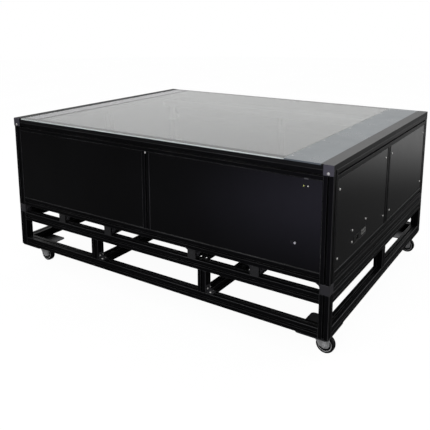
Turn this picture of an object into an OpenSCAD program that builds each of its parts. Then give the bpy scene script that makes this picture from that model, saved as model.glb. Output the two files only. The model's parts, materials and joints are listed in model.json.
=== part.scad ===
// Large-format flatbed scanner.
// A glass-topped cabinet of slotted aluminium profile stands on a rolling stand of the same profile.
// Axes: +X to the right, +Y to the back, +Z up. The origin is on the floor under the middle.

/* [Overall] */
// Width over the outer faces of the corner posts
width = 1690; // [1500:10:1900]
// Depth over the outer faces of the corner posts
depth = 1310; // [1200:10:1500]
// Side of the square slotted profile
profile = 40; // [40:1:42]
// Width of the profile's slot at its mouth
slot_w = 8.2; // [7:0.2:9]

/* [Heights] */
// Height of a caster, from the floor to the underside of the stand
caster_h = 100; // [95:1:130]
// Clear height of the open window in the stand
window_h = 96; // [80:1:160]
// Clear height between the cabinet's bottom and top rails
panel_open_h = 348; // [300:1:420]
// Height of the flat frame that carries the glass
top_frame_h = 21; // [18:1:26]

/* [Covers] */
// Thickness of the sheet-metal panels
panel_t = 3; // [2:0.5:4]
// How far a panel lies behind the profile's outer face
panel_recess = 2; // [1.5:0.5:4]
// Gap between a panel and the profile round it
panel_gap = 2; // [1:0.5:4]
// Distance from a panel's side edge to its screws
screw_in_side = 24; // [20:1:40]
// Distance from a panel's top or bottom edge to its screws
screw_in_end = 40; // [30:1:50]

/* [Glass] */
// Thickness of the glass plate
glass_t = 6; // [4:0.5:8]
// Width of the top frame's left strip
left_strip_w = 50; // [40:1:60]
// Width of the top frame's right strip
right_strip_w = 50; // [45:1:60]
// Width of the metal cover plate beside the glass
cover_plate_w = 145; // [120:1:200]
// Number of small screws along the cover plate
cover_screw_count = 9; // [5:1:13]

/* [Stand] */
// Sideways places of the short posts in the front and back of the stand
short_post_x = [-322, 287]; // [-780:1:780]
// Sideways places of the inner cross beams that carry the cabinet
cross_beam_x = [-535, -236, 236, 535]; // [-780:1:780]
// Sideways place of the short beam that stops behind the rails
inner_beam_x = 287; // [278:1:480]
// Leg length of the small gussets under the cabinet
gusset_leg = 30; // [15:1:30]
// Leg length of the castings at the feet of the short posts
casting_leg = 32; // [28:1:38]

/* [Casters] */
// Radius of a caster wheel
wheel_r = 37.5; // [30:0.5:40]
// Width of a caster wheel
wheel_w = 24; // [20:1:30]
// Distance from a caster's swivel axis to its wheel axis
caster_trail = 28; // [20:1:35]
// Caster mounting plate, along X, along Y and thickness
caster_plate = [135, 170, 4]; // [3:1:200]
// Radius of the wheel axle
axle_r = 4; // [3:0.5:5]
// Radius of the swivel's king pin
king_pin_r = 5; // [4:0.5:6]

/* [Controls] */
// Middle of the button escutcheon, along X and along Z
button_at = [698, 451]; // [400:1:760]
// Radius of the start button
button_r = 4.5; // [4:0.5:5]
// Middle of the connector window, along Y and along Z
connector_at = [-346, 410]; // [-500:1:500]
// Connector window in the side panel, along Y and along Z
connector_window = [150, 30]; // [28:1:160]

/* [Scan drive] */
// Sideways place of the carriage when it is parked
carriage_x = 700; // [650:1:700]
// Half of the carriage's width
carriage_half_w = 95; // [80:1:95]
// Distance of each guide rail from the middle
guide_y = 545; // [540:1:548]
// Distance of each toothed belt from the middle
belt_y = 590; // [588:1:595]
// Distance of the belt pulleys from the middle, along X
pulley_x = 770; // [760:1:775]
// Height of the pulley axes
pulley_z = 590; // [585:1:595]
// Pulley radius under the belt
pulley_r = 16; // [12:1:20]
// Radius of the drive shaft and the idler pins
shaft_r = 6; // [5:0.5:8]

/* [Hidden] */
$fn = 48;

// Working clearances
running_gap = 0.05;
free_gap = 0.4;
joint_gap = 0.4;
// Length added to a cut so that it passes right through
cut = 1;

// Levels, from the floor up
z_stand = caster_h;
z_stand_top_rail = z_stand + profile + window_h;
z_beams = z_stand_top_rail + profile;
z_cabinet = z_beams + profile;
z_panel = z_cabinet + profile;
z_top_rail = z_panel + panel_open_h;
z_post_top = z_top_rail + profile;
z_top = z_post_top + top_frame_h;
z_glass = z_top - glass_t;

// Plan
half_w = width / 2;
half_d = depth / 2;
post_x = half_w - profile / 2;
post_y = half_d - profile / 2;
inner_w = width - 2 * profile;
inner_d = depth - 2 * profile;
SIDES = [-1, 1];

// Profile section
slot_lip = 4.2;
slot_inner_w = 15;
slot_floor_w = 7;
slot_depth = 12;
corner_cut = 1;

// Panels
panel_w_front = inner_w / 2 - profile / 2 - 2 * panel_gap;
panel_w_side = inner_d / 2 - profile / 2 - 2 * panel_gap;
panel_h = panel_open_h - 2 * panel_gap;
panel_corner_r = 3;
panel_x = half_w - panel_recess;
panel_y = half_d - panel_recess;
panel_mid_x = (inner_w / 2 + profile / 2) / 2;
panel_mid_y = (inner_d / 2 + profile / 2) / 2;
panel_mid_z = z_panel + panel_open_h / 2;
screw_zs = [z_panel + panel_gap + screw_in_end, z_top_rail - panel_gap - screw_in_end];
screw_ys = [
    profile / 2 + panel_gap + screw_in_side,
    inner_d / 2 - panel_gap - screw_in_side
];
screw_xs = [
    profile / 2 + panel_gap + screw_in_side,
    inner_w / 2 - panel_gap - screw_in_side
];
tab_leg = 42;
tab_h = 40;
tab_t = 2;

// Button-head screws, M5
screw_head_r = 4.75;
plate_screw_r = 6;
screw_head_h = 2.75;
screw_hex_r = 1.7;
bracket_t = 3;
bracket_side = 40;
cap_t = 3;
bracket_screw_z = z_top - 32.5;

// Top
glass_x0 = -half_w + left_strip_w;
cover_x1 = half_w - right_strip_w;
cover_x0 = cover_x1 - cover_plate_w;
seam_gap = 1;
seam_bar = [40, 5];
ruler_x0 = -718;
ruler_w = 25;
ruler_t = 2;
cover_screw_r = 3.5;
cover_screw_h = 0.8;
cover_screw_pitch = (depth - 110) / (cover_screw_count - 1);

// Controls
lens_x = [732, 748];
lens_z = 674;
lens_r = 3;
lens_h = 1.4;
clip_x = 741;
clip_w = 16;
escutcheon = [28, 1.5, 16];
button_offset = 5.5;
button_len = 14;
button_proud = 1.5;

// Connector row, places along Y from the middle of the window
rocker_dy = -58;
inlet_dy = -28;
port_dys = [34, 61];
module_ys = [-69, -12];
plate_screws = [[-91, 0], [-91, 48], [63, 48]];
slot_at = [63, 30];
slot_size = [2.5, 22];
module_half_h = 14;
module_wall = 1.6;
inlet_mouth = [24.4, 16.4];
inlet_depth = 18;
rocker_size = [13, 20];
rocker_well = [14, 22, 8];
rocker_turn = 12;
rocker_out = 1;
rocker_pin_r = 1.5;
connector_plate_size = [190, 84];
connector_plate_dz = 26;
port_size = [24, 20];
port_mouth = [9.6, 7.8];
port_depth = 11;
plate_x = panel_x - panel_t;
plate_t = 2;

// Scan drive
guide_beam_z = z_top_rail - profile;
guide_rail = [20, 16];
deck_z = 734;
deck_t = 4;
trough_z = 640;
trough_half_y = 500;
deck_half_y = 574;
lamp_size = [22, 920, 14];
lamp_x = 27;
belt_w = 12;
belt_t = 2;
belt_strand_z = pulley_z + pulley_r + free_gap + belt_t;
hanger_w = 36;
motor_y = 150;
motor_side = 86;
motor_len = 96;

// Electronics
pan_t = 2;
fan_x = 400;
fan_side = 120;
fan_depth = 25;
fan_z = 450;
fan_y = panel_y - panel_t - fan_depth;

// Casters
fork_leg_t = 2.5;
fork_gap = wheel_w + 5;
fork_z = 80;
fork_top_z = caster_h - caster_plate.z - free_gap;
swivel_x = half_w - caster_plate.x / 2;
swivel_y = half_d - caster_plate.y / 2;

// ---------- Shared shapes ----------

// Outline of the slotted profile: one side's points, turned to all four sides
function side_points(h) = [
    [-h + corner_cut, h],
    [-slot_w / 2, h],
    [-slot_w / 2, h - slot_lip],
    [-slot_inner_w / 2, h - slot_lip],
    [-slot_inner_w / 2, h - slot_lip - 2],
    [-slot_floor_w / 2, h - slot_depth],
    [slot_floor_w / 2, h - slot_depth],
    [slot_inner_w / 2, h - slot_lip - 2],
    [slot_inner_w / 2, h - slot_lip],
    [slot_w / 2, h - slot_lip],
    [slot_w / 2, h],
    [h - corner_cut, h]
];
function turned(p, quarter) =
    quarter == 0 ? p :
    quarter == 1 ? [p.y, -p.x] :
    quarter == 2 ? [-p.x, -p.y] :
    [-p.y, p.x];

module profile_section() {
    polygon([for (q = [0:3]) for (p = side_points(profile / 2)) turned(p, q)]);
}

// A length of profile along one axis, centred on [x, y] or its like
module profile_z(x, y, z, len) {
    translate([x, y, z]) linear_extrude(len) profile_section();
}

module profile_x(len, y, z) {
    translate([-len / 2, y, z + profile / 2]) rotate([90, 0, 90]) linear_extrude(len) profile_section();
}

module profile_y(x, len, z) {
    translate([x, len / 2, z + profile / 2]) rotate([90, 0, 0]) linear_extrude(len) profile_section();
}

// The four rails of one level
module rail_ring(z) {
    for (s = SIDES) {
        profile_x(inner_w, s * post_y, z);
        profile_y(s * post_x, inner_d, z);
    }
}

module box(from, to) {
    translate(from) cube(to - from);
}

// Flat plate with round corners, lying in XY from z = 0 up
module round_plate(w, d, t, r) {
    translate([-w / 2 + r, -d / 2, 0]) cube([w - 2 * r, d, t]);
    translate([-w / 2, -d / 2 + r, 0]) cube([w, d - 2 * r, t]);
    for (sx = SIDES, sy = SIDES) {
        translate([sx * (w / 2 - r), sy * (d / 2 - r), 0]) cylinder(h = t, r = r);
    }
}

// Stands a plate up so that its outer face looks along +X or -X, +Y or -Y
module facing_x(side) {
    rotate([90, 0, 90 * side]) children();
}

module facing_y(side) {
    rotate([90, 0, side > 0 ? 180 : 0]) children();
}

// A cabinet panel lying flat: its outer face is the upper one
module flat_panel(w) {
    translate([0, 0, -panel_t]) round_plate(w, panel_h, panel_t, panel_corner_r);
}

module button_screw(head_r = screw_head_r) {
    difference() {
        union() {
            cylinder(h = screw_head_h * 0.45, r = head_r, $fn = 24);
            translate([0, 0, screw_head_h * 0.45])
                cylinder(h = screw_head_h * 0.55, r1 = head_r, r2 = head_r * 0.6, $fn = 24);
        }
        translate([0, 0, screw_head_h * 0.4]) cylinder(h = screw_head_h, r = screw_hex_r, $fn = 6);
    }
}

// ---------- Stand ----------

module stand_corner_posts() {
    color("#1b1b1d")
        for (sx = SIDES, sy = SIDES) profile_z(sx * post_x, sy * post_y, z_stand, z_beams - z_stand);
}

module stand_short_posts() {
    color("#1b1b1d") {
        for (x = short_post_x, sy = SIDES) profile_z(x, sy * post_y, z_stand + profile, window_h);
        for (sx = SIDES) profile_z(sx * post_x, 0, z_stand + profile, window_h);
    }
}

// The bottom ring, with a cross rail between each pair of short posts
module stand_bottom_rails() {
    color("#1b1b1d") {
        rail_ring(z_stand);
        for (x = short_post_x) profile_y(x, inner_d - 2 * joint_gap, z_stand);
    }
}

module stand_top_rails() {
    color("#1b1b1d") rail_ring(z_stand_top_rail);
}

// ---------- Level between stand and cabinet ----------

module corner_cubes() {
    color("#3a3a3d")
        for (sx = SIDES, sy = SIDES)
            translate([sx * post_x, sy * post_y, z_beams + profile / 2]) cube(profile, center = true);
}

module cabinet_beams() {
    color("#1b1b1d") {
        for (s = SIDES) profile_y(s * post_x, inner_d, z_beams);
        for (x = cross_beam_x) profile_y(x, depth - 2 * cap_t, z_beams);
        profile_y(inner_beam_x, inner_d + 16, z_beams);
    }
}

module beam_end_caps() {
    color("#4a4a4c")
        for (x = cross_beam_x, s = SIDES)
            translate([x, s * (half_d - cap_t), z_beams + profile / 2])
                facing_y(s) round_plate(profile - 1, profile - 1, cap_t, 2);
}

// Triangular block whose right angle is at the origin, legs along +X and -Z
module gusset(leg, w) {
    rotate([90, 0, 0]) translate([0, 0, -w / 2])
        linear_extrude(w) polygon([[0, 0], [leg, 0], [leg, -3], [3, -leg], [0, -leg]]);
}

// Gussets hang under the cabinet's rails; castings stand at the right of each short post's foot
module gusset_brackets() {
    color("#2a2a2c")
        for (sy = SIDES) {
            for (x = cross_beam_x, sx = SIDES)
                translate([x + sx * profile / 2, sy * post_y, z_cabinet])
                    mirror([sx < 0 ? 1 : 0, 0, 0]) gusset(gusset_leg, 20);
            for (sx = SIDES)
                translate([sx * inner_w / 2, sy * post_y, z_cabinet])
                    mirror([sx > 0 ? 1 : 0, 0, 0]) gusset(gusset_leg, 20);
            for (x = short_post_x)
                translate([x + profile / 2, sy * post_y, z_stand + profile])
                    mirror([0, 0, 1]) gusset(casting_leg, 30);
        }
}

// ---------- Cabinet frame ----------

module cabinet_corner_posts() {
    color("#1b1b1d")
        for (sx = SIDES, sy = SIDES) profile_z(sx * post_x, sy * post_y, z_cabinet, z_post_top - z_cabinet);
}

module cabinet_middle_posts() {
    color("#1b1b1d")
        for (s = SIDES) {
            profile_z(0, s * post_y, z_panel, panel_open_h);
            profile_z(s * post_x, 0, z_panel, panel_open_h);
        }
}

module cabinet_bottom_rails() {
    color("#1b1b1d") rail_ring(z_cabinet);
}

module cabinet_top_rails() {
    color("#1b1b1d") rail_ring(z_top_rail);
}

// ---------- Top ----------

module top_frame() {
    color("#3a3835") {
        box([-half_w, -half_d, z_post_top], [glass_x0, half_d, z_top]);
        box([cover_x1, -half_d, z_post_top], [half_w, half_d, z_top]);
        for (s = SIDES)
            translate([(glass_x0 + cover_x1) / 2, s * post_y, (z_post_top + z_glass) / 2])
                cube([cover_x1 - glass_x0 - joint_gap, profile, z_glass - z_post_top], center = true);
        translate([cover_x0 + seam_bar.x / 2 - 8, 0, z_glass - seam_bar.y / 2])
            cube([seam_bar.x, inner_d - joint_gap, seam_bar.y], center = true);
    }
}

module glass_plate() {
    color("#b9c0c0", 0.6)
        box([glass_x0, -half_d + 1, z_glass], [cover_x0 - seam_gap, half_d - 1, z_top]);
}

module cover_plate() {
    color("#8d979b") box([cover_x0, -half_d + 1, z_glass], [cover_x1, half_d - 1, z_top]);
}

module cover_screws() {
    color("#d8d8d8")
        for (i = [0:cover_screw_count - 1])
            translate([cover_x0 + 10, (i - (cover_screw_count - 1) / 2) * cover_screw_pitch, z_top])
                cylinder(h = cover_screw_h, r1 = cover_screw_r, r2 = cover_screw_r * 0.7, $fn = 20);
}

module origin_ruler() {
    color("#6c6c6e")
        box([ruler_x0, -inner_d / 2 + 1, z_glass - ruler_t], [ruler_x0 + ruler_w, inner_d / 2 - 1, z_glass]);
}

module corner_brackets() {
    color("#4d4a50")
        for (sx = SIDES, sy = SIDES)
            translate([sx * (half_w - bracket_side / 2), sy * half_d, z_top - bracket_side / 2])
                facing_y(sy) round_plate(bracket_side, bracket_side, bracket_t, 2);
}

// ---------- Covers ----------

module front_panel_left() {
    color("#0e0f11")
        translate([-panel_mid_x, -panel_y, panel_mid_z]) facing_y(-1) flat_panel(panel_w_front);
}

module front_panel_right() {
    color("#0e0f11")
        difference() {
            translate([panel_mid_x, -panel_y, panel_mid_z]) facing_y(-1) flat_panel(panel_w_front);
            translate([button_at.x + button_offset, -panel_y - cut, button_at.y])
                rotate([-90, 0, 0]) cylinder(h = panel_t + 2 * cut, r = button_r + 1);
        }
}

module side_panels() {
    color("#151517") {
        translate([panel_x, panel_mid_y, panel_mid_z]) facing_x(1) flat_panel(panel_w_side);
        for (s = SIDES)
            translate([-panel_x, s * panel_mid_y, panel_mid_z]) facing_x(-1) flat_panel(panel_w_side);
    }
}

module connector_side_panel() {
    color("#151517")
        difference() {
            translate([panel_x, -panel_mid_y, panel_mid_z]) facing_x(1) flat_panel(panel_w_side);
            translate([panel_x, connector_at.x, connector_at.y]) {
                cube([4 * panel_t, connector_window.x, connector_window.y], center = true);
                translate([0, slot_at.x, slot_at.y])
                    cube([4 * panel_t, slot_size.x, slot_size.y], center = true);
            }
        }
}

module back_panel_plain() {
    color("#151517")
        translate([-panel_mid_x, panel_y, panel_mid_z]) facing_y(1) flat_panel(panel_w_front);
}

module back_panel_vented() {
    color("#151517")
        difference() {
            translate([panel_mid_x, panel_y, panel_mid_z]) facing_y(1) flat_panel(panel_w_front);
            for (i = [-4:4])
                translate([fan_x + i * 12, panel_y, fan_z])
                    cube([6, 4 * panel_t, 2 * sqrt(54 * 54 - i * i * 144)], center = true);
        }
}

module button_head_screws() {
    color("#d0d0d0") {
        for (s = SIDES, sy = SIDES, y = screw_ys, z = screw_zs)
            translate([s * panel_x, sy * y, z]) facing_x(s) button_screw();
        for (sx = SIDES, x = screw_xs, z = screw_zs)
            translate([sx * x, panel_y, z]) facing_y(1) button_screw();
        for (sx = SIDES, sy = SIDES)
            translate([sx * post_x, sy * (half_d + bracket_t), bracket_screw_z])
                facing_y(sy) button_screw(plate_screw_r);
        for (sy = SIDES)
            translate([0, sy * half_d, z_top_rail - 6]) facing_y(sy) button_screw();
        for (p = plate_screws)
            translate([panel_x, connector_at.x + p.x, connector_at.y + p.y]) facing_x(1) button_screw();
    }
}

// Angle behind a panel's corner, standing on the post beside it
module tab(h) {
    box([0, 0, -h / 2], [tab_t, tab_leg, h / 2]);
    box([0, 0, -h / 2], [tab_leg / 2, tab_t, h / 2]);
}

module panel_tabs() {
    color("#c8c8c8") {
        for (sx = SIDES, sy = SIDES, z = screw_zs)
            translate([sx * plate_x, sy * inner_d / 2, z])
                mirror([sx > 0 ? 1 : 0, 0, 0]) mirror([0, sy > 0 ? 1 : 0, 0]) tab(tab_h);
        for (sx = SIDES, z = screw_zs)
            translate([sx * inner_w / 2, panel_y - panel_t, z])
                mirror([sx > 0 ? 1 : 0, 0, 0]) rotate([0, 0, -90]) tab(tab_h);
        // Spring clip over the upper edge of the right front panel
        translate([clip_x, -panel_y, z_top_rail]) {
            box([-clip_w / 2, -1.2, -1.2], [clip_w / 2, panel_t + 10, 0]);
            box([-clip_w / 2, -1.2, -5], [clip_w / 2, 0, 0]);
        }
    }
}

module floor_pan() {
    color("#2b2b2d")
        translate([0, 0, z_cabinet + pan_t / 2]) cube([inner_w - 2, inner_d - 2, pan_t], center = true);
}

// ---------- Controls and connectors ----------

module indicator_lenses() {
    color("#c9d24a")
        for (x = lens_x)
            translate([x, -panel_y, lens_z]) facing_y(-1) {
                cylinder(h = lens_h / 2, r = lens_r);
                translate([0, 0, lens_h / 2]) cylinder(h = lens_h / 2, r1 = lens_r, r2 = lens_r * 0.6);
            }
}

module button_escutcheon() {
    color("#050505")
        translate([button_at.x, -panel_y, button_at.y]) facing_y(-1)
            difference() {
                round_plate(escutcheon.x, escutcheon.z, escutcheon.y, escutcheon.z / 2 - 0.5);
                translate([button_offset, 0, -cut])
                    cylinder(h = escutcheon.y + 2 * cut, r = button_r + free_gap);
                translate([-button_offset, 0, escutcheon.y * 0.4]) cylinder(h = escutcheon.y, r = button_r);
            }
}

module start_button() {
    color("#e2e2e2")
        translate([button_at.x + button_offset, -panel_y - escutcheon.y - button_proud, button_at.y])
            rotate([-90, 0, 0]) cylinder(h = button_len, r = button_r);
}

// Outline across the connector row that a moulding of this size and reach fills
module row_block(x0, x1, dy, size) {
    translate([(x0 + x1) / 2, dy, 0]) cube([x1 - x0, size.x, size.y], center = true);
}

module connector_plate() {
    module_w = module_ys.y - module_ys.x;
    color("#1a1a1b")
        translate([plate_x, connector_at.x, connector_at.y])
            difference() {
                translate([-plate_t / 2, 0, connector_plate_dz])
                    cube([plate_t, connector_plate_size.x, connector_plate_size.y], center = true);
                row_block(-plate_t - cut, cut, (module_ys.x + module_ys.y) / 2,
                          [module_w - 2 * module_wall + 1, 2 * (module_half_h - module_wall) + 1]);
                for (dy = port_dys) row_block(-plate_t - cut, cut, dy, port_size - [1, 1]);
            }
}

// Mains module: an appliance inlet with three flat pins, and a well with the switch's pivot pin
module power_inlet() {
    mid = (module_ys.x + module_ys.y) / 2;
    size = [module_ys.y - module_ys.x, 2 * module_half_h];
    color("#0a0a0a")
        translate([plate_x, connector_at.x, connector_at.y]) {
            difference() {
                union() {
                    row_block(0, 3, mid, size);
                    row_block(-inlet_depth - 3, cut, mid, size - 2 * [module_wall, module_wall]);
                }
                row_block(-inlet_depth, 4, inlet_dy, inlet_mouth);
                row_block(-rocker_well.z, 4, rocker_dy, rocker_well);
            }
            for (p = [[-7, -2], [0, 3], [7, -2]])
                translate([-(inlet_depth + 6) / 2, inlet_dy + p.x, p.y])
                    cube([inlet_depth - 4, 2, 4], center = true);
            translate([rocker_out, rocker_dy, 0]) rotate([90, 0, 0])
                cylinder(h = rocker_well.x + 1, r = rocker_pin_r, center = true);
        }
}

// Switch cap on its pivot; it tips about the Y axis
module mains_rocker() {
    color("#141414")
        translate([plate_x + rocker_out, connector_at.x + rocker_dy, connector_at.y])
            difference() {
                rotate([0, rocker_turn / 2, 0]) row_block(-4, 2, 0, rocker_size);
                rotate([90, 0, 0])
                    cylinder(h = rocker_size.x + 2 * cut, r = rocker_pin_r + running_gap, center = true);
            }
}

module data_ports() {
    color("#c4c4c4")
        for (dy = port_dys)
            translate([plate_x, connector_at.x + dy, connector_at.y])
                difference() {
                    union() {
                        row_block(0, 2.5, 0, port_size);
                        row_block(-port_depth - 3, cut, 0, port_size - [2, 2]);
                    }
                    row_block(-port_depth, 4, 0, port_mouth);
                }
}

// ---------- Scan drive ----------

module guide_beams() {
    color("#8f9092") for (s = SIDES) profile_x(width - 24, s * guide_y, guide_beam_z);
}

module guide_rails() {
    color("#c9cacc")
        for (s = SIDES)
            translate([0, s * guide_y, z_top_rail]) {
                box([-half_w + 60, -guide_rail.x / 2, 0], [half_w - 45, guide_rail.x / 2, 6]);
                box([-half_w + 60, -guide_rail.x / 2 + 2.5, 6], [half_w - 45, guide_rail.x / 2 - 2.5, 10]);
                box([-half_w + 60, -guide_rail.x / 2, 10], [half_w - 45, guide_rail.x / 2, guide_rail.y]);
            }
}

// Deck with the scan slit, the trough that hangs under it, and the arms that hold the belts
module carriage_chassis() {
    color("#26272a")
        translate([carriage_x, 0, 0]) {
            difference() {
                box([-carriage_half_w, -deck_half_y, deck_z], [carriage_half_w, deck_half_y, deck_z + deck_t]);
                box([-10, -lamp_size.y / 2, deck_z - cut], [10, lamp_size.y / 2, deck_z + deck_t + cut]);
            }
            for (s = SIDES) {
                box([min(s * carriage_half_w, s * (carriage_half_w - 3)), -trough_half_y, trough_z],
                    [max(s * carriage_half_w, s * (carriage_half_w - 3)), trough_half_y, deck_z]);
                translate([0, s * (trough_half_y - 1.5), (trough_z + deck_z) / 2])
                    cube([2 * carriage_half_w - 6, 3, deck_z - trough_z], center = true);
                translate([0, s * (deck_half_y - 2), (belt_strand_z + 1 + deck_z) / 2])
                    cube([60, 4, deck_z - belt_strand_z - 1], center = true);
                translate([0, s * (belt_y - 8 + 5), belt_strand_z + 3])
                    cube([60, 30, 4], center = true);
            }
            translate([0, 0, trough_z + 1.5])
                cube([2 * carriage_half_w - 6, 2 * trough_half_y - 6, 3], center = true);
        }
}

module bearing_blocks() {
    color("#55585c")
        for (sx = SIDES, sy = SIDES)
            translate([carriage_x + sx * 60, sy * guide_y, 0])
                difference() {
                    box([-30, -22, z_top_rail + 3], [30, 22, deck_z]);
                    box([-30 - cut, -guide_rail.x / 2 - free_gap, z_top_rail],
                        [30 + cut, guide_rail.x / 2 + free_gap, z_top_rail + guide_rail.y + free_gap]);
                }
}

module lamp_bars() {
    color("#f2f3ee")
        for (s = SIDES)
            translate([carriage_x + s * lamp_x, 0, deck_z + deck_t + lamp_size.z / 2])
                cube(lamp_size, center = true);
}

module camera_modules() {
    color("#2f3a35")
        for (i = [-1:1])
            translate([carriage_x, i * 300, trough_z + 3]) {
                box([-45, -60, 0], [45, 60, 38]);
                translate([0, 0, 38]) cylinder(h = 24, r = 24);
                translate([0, 0, 62]) cylinder(h = 12, r = 18);
            }
}

module drive_shaft() {
    color("#b5b7b9")
        translate([pulley_x, 0, pulley_z]) rotate([90, 0, 0])
            cylinder(h = 2 * belt_y + 20, r = shaft_r, center = true);
}

// Pulley on the Y axis with two rims
module pulley(bore) {
    rotate([90, 0, 0])
        difference() {
            union() {
                cylinder(h = belt_w + 1, r = pulley_r, center = true);
                for (s = SIDES)
                    translate([0, 0, s * (belt_w / 2 + 1.25)])
                        cylinder(h = 1.5, r = pulley_r + 4, center = true);
            }
            cylinder(h = belt_w + 4 * cut, r = bore, center = true);
        }
}

module drive_pulleys() {
    color("#a6a8aa") for (s = SIDES) translate([pulley_x, s * belt_y, pulley_z]) pulley(shaft_r);
}

module idler(side) {
    color("#a6a8aa") translate([-pulley_x, side * belt_y, pulley_z]) pulley(shaft_r + running_gap);
}

module idler_pulley_front() {
    idler(-1);
}

module idler_pulley_back() {
    idler(1);
}

// Closed belt round both pulleys of one side
module belt_outline(r) {
    square([2 * pulley_x, 2 * r], center = true);
    for (s = SIDES) translate([s * pulley_x, 0]) circle(r = r);
}

module drive_belts() {
    color("#101010")
        for (s = SIDES)
            translate([0, s * belt_y, pulley_z]) rotate([90, 0, 0]) translate([0, 0, -belt_w / 2])
                linear_extrude(belt_w) difference() {
                    belt_outline(pulley_r + free_gap + belt_t);
                    belt_outline(pulley_r + free_gap);
                }
}

// Hangers under the guide beams: bored for the shaft at the right, with a pin for the idler at the left
module shaft_hangers() {
    color("#6d7074")
        for (s = SIDES) {
            difference() {
                box([pulley_x - hanger_w / 2, s * guide_y - 9, pulley_z - 18],
                    [pulley_x + hanger_w / 2, s * guide_y + 9, guide_beam_z]);
                translate([pulley_x, s * guide_y, pulley_z]) rotate([90, 0, 0])
                    cylinder(h = 30, r = shaft_r + running_gap, center = true);
            }
            box([-pulley_x - hanger_w / 2, s * guide_y - 9, pulley_z - 18],
                [-pulley_x + hanger_w / 2, s * guide_y + 9, guide_beam_z]);
            translate([-pulley_x, s * (guide_y + belt_y + 8) / 2, pulley_z]) rotate([90, 0, 0])
                cylinder(h = belt_y + 8 - guide_y, r = shaft_r, center = true);
        }
}

// Motor with a through shaft, and the bracket that holds it to the cabinet's middle post
module drive_motor() {
    color("#303236")
        difference() {
            union() {
                translate([pulley_x, motor_y, pulley_z])
                    cube([motor_side, motor_len, motor_side], center = true);
                box([half_w - profile - 6, profile / 2 - 38, pulley_z - 40],
                    [half_w - profile, motor_y - motor_len / 2 + 6, pulley_z + 40]);
            }
            translate([pulley_x, motor_y, pulley_z]) rotate([90, 0, 0])
                cylinder(h = motor_len + 2 * cut, r = shaft_r + free_gap, center = true);
        }
}

// ---------- Electronics ----------

module controller_board() {
    color("#1f6b3c")
        translate([-100, 250, z_cabinet + pan_t]) {
            for (x = [10, 290], y = [10, 190]) translate([x, y, 0]) cylinder(h = 12, r = 4, $fn = 16);
            box([0, 0, 12], [300, 200, 14]);
            box([40, 40, 14], [90, 90, 18]);
            box([120, 110, 14], [180, 170, 30]);
            box([220, 20, 14], [280, 45, 26]);
            box([10, 130, 14], [80, 150, 24]);
        }
}

module power_supply() {
    color("#9fa2a5") translate([300, -300, z_cabinet + pan_t]) cube([220, 115, 60]);
}

module fan_housing() {
    color("#101112")
        translate([fan_x, fan_y, fan_z]) rotate([-90, 0, 0]) {
            difference() {
                translate([0, 0, fan_depth / 2]) cube([fan_side, fan_side, fan_depth], center = true);
                translate([0, 0, -cut]) cylinder(h = fan_depth + 2 * cut, r = 57);
            }
            cylinder(h = 4, r = 22);
            cylinder(h = 18, r = 2);
            for (i = [0:3]) rotate([0, 0, 45 + 90 * i]) box([18, -2.5, 0], [60, 2.5, 4]);
        }
}

module fan_rotor() {
    color("#1a1b1d")
        translate([fan_x, fan_y, fan_z]) rotate([-90, 0, 0]) {
            difference() {
                translate([0, 0, 5]) cylinder(h = 18, r = 21);
                cylinder(h = 19, r = 2 + running_gap);
            }
            for (i = [0:6])
                rotate([0, 0, i * 360 / 7]) translate([36, 0, 14]) rotate([38, 0, 0])
                    cube([36, 22, 1.6], center = true);
        }
}

// ---------- Casters ----------

module caster_plates() {
    color("#2a2a2b")
        for (sx = SIDES, sy = SIDES)
            translate([sx * swivel_x, sy * swivel_y, caster_h - caster_plate.z])
                difference() {
                    round_plate(caster_plate.x, caster_plate.y, caster_plate.z, 14);
                    translate([0, 0, -cut])
                        cylinder(h = caster_plate.z + 2 * cut, r = king_pin_r + running_gap);
                }
}

// Fork with its axle bolt; all four trail to the right
module caster_fork(sx, sy) {
    leg = [
        [-26, fork_z],
        [caster_trail + 16, fork_z],
        [caster_trail + 21, fork_z - 20],
        [caster_trail + 21, wheel_r - 1.5],
        [caster_trail + 16, wheel_r - 9.5],
        [caster_trail + 8, wheel_r - 13],
        [caster_trail - 8, wheel_r - 13],
        [caster_trail - 20, wheel_r - 7.5],
        [caster_trail - 30, wheel_r + 4.5]
    ];
    color("#a9abad")
        translate([sx * swivel_x, sy * swivel_y, 0]) {
            translate([0, 0, fork_z]) cylinder(h = caster_h - 1 - fork_z, r = king_pin_r);
            translate([0, 0, fork_z + 4]) cylinder(h = fork_top_z - fork_z - 4, r = 25);
            translate([(caster_trail - 10) / 2, 0, fork_z + 2])
                cube([caster_trail + 42, fork_gap + 2 * fork_leg_t, 4], center = true);
            for (s = SIDES)
                translate([0, s * (fork_gap + fork_leg_t) / 2 + fork_leg_t / 2, 0]) rotate([90, 0, 0])
                    linear_extrude(fork_leg_t) polygon(leg);
            translate([caster_trail, 0, wheel_r]) rotate([90, 0, 0]) {
                cylinder(h = fork_gap + 2 * fork_leg_t + 6, r = axle_r, center = true);
                for (s = SIDES)
                    translate([0, 0, s * (fork_gap / 2 + fork_leg_t + 1.5)])
                        cylinder(h = 3, r = 7, center = true, $fn = 6);
            }
        }
}

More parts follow.
